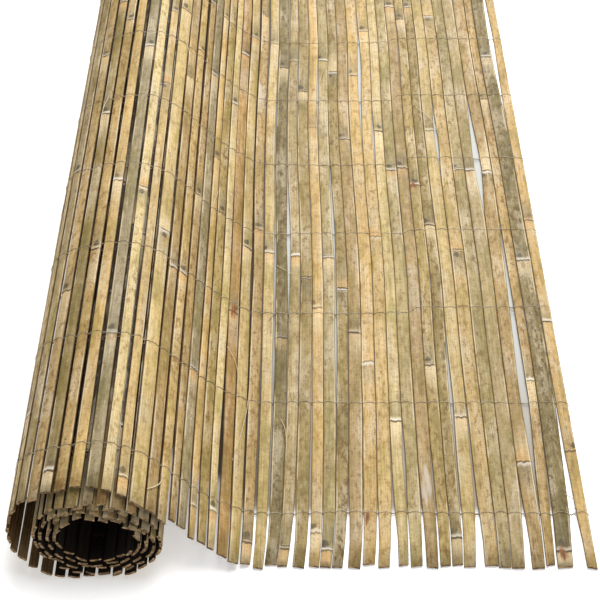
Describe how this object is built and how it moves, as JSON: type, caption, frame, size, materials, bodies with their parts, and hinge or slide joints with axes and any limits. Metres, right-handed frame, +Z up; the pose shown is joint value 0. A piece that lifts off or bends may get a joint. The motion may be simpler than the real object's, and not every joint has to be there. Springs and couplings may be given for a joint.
{
  "type": "bamboo screen",
  "caption": "Split-bamboo slat screen tied with thin wire, lying half unrolled: flat on the floor at one side and climbing over a loose roll at the other.",
  "frame": {"origin": "middle of the underside of the whole screen, on the floor", "axes": "+Y along the slats, away from the near ends; +X across the slats, from the roll towards the free edge; +Z up"},
  "size_m": [0.5196, 1.024, 0.1062],
  "materials": {
    "split_bamboo": "dry, unvarnished split bamboo: smooth skin outside with nodes, specks and grey-green to honey tones, rough pale inner side, darker cut ends",
    "tie_wire": "dull galvanised steel wire, twisted in pairs, slightly browned"
  },
  "bodies": {
    "root": {"lead_slat_01": "split_bamboo", "lead_slat_02": "split_bamboo", "lead_slat_03": "split_bamboo", "lead_slat_04": "split_bamboo", "lead_slat_05": "split_bamboo", "lead_slat_06": "split_bamboo", "lead_slat_07": "split_bamboo", "lead_slat_08": "split_bamboo", "lead_slat_09": "split_bamboo", "lead_slat_10": "split_bamboo", "lead_slat_11": "split_bamboo", "lead_slat_12": "split_bamboo", "lead_slat_13": "split_bamboo", "lead_slat_14": "split_bamboo", "lead_slat_15": "split_bamboo", "lead_slat_16": "split_bamboo", "lead_slat_17": "split_bamboo", "lead_slat_18": "split_bamboo", "lead_slat_19": "split_bamboo", "lead_slat_20": "split_bamboo", "lead_slat_21": "split_bamboo", "lead_slat_22": "split_bamboo", "lead_slat_23": "split_bamboo", "lead_slat_24": "split_bamboo", "lead_slat_25": "split_bamboo", "lead_slat_26": "split_bamboo", "lead_slat_27": "split_bamboo", "lead_slat_28": "split_bamboo", "lead_slat_29": "split_bamboo", "lead_slat_30": "split_bamboo", "lead_slat_31": "split_bamboo", "roll_turn_1": "split_bamboo", "roll_turn_2": "split_bamboo", "roll_turn_3": "split_bamboo", "roll_turn_4": "split_bamboo", "roll_turn_5": "split_bamboo", "tie_wire_1": "tie_wire", "tie_wire_2": "tie_wire", "tie_wire_3": "tie_wire", "tie_wire_4": "tie_wire", "tie_wire_5": "tie_wire", "tie_wire_6": "tie_wire", "tie_wire_7": "tie_wire", "tie_wire_8": "tie_wire"}
  },
  "joints": []
}
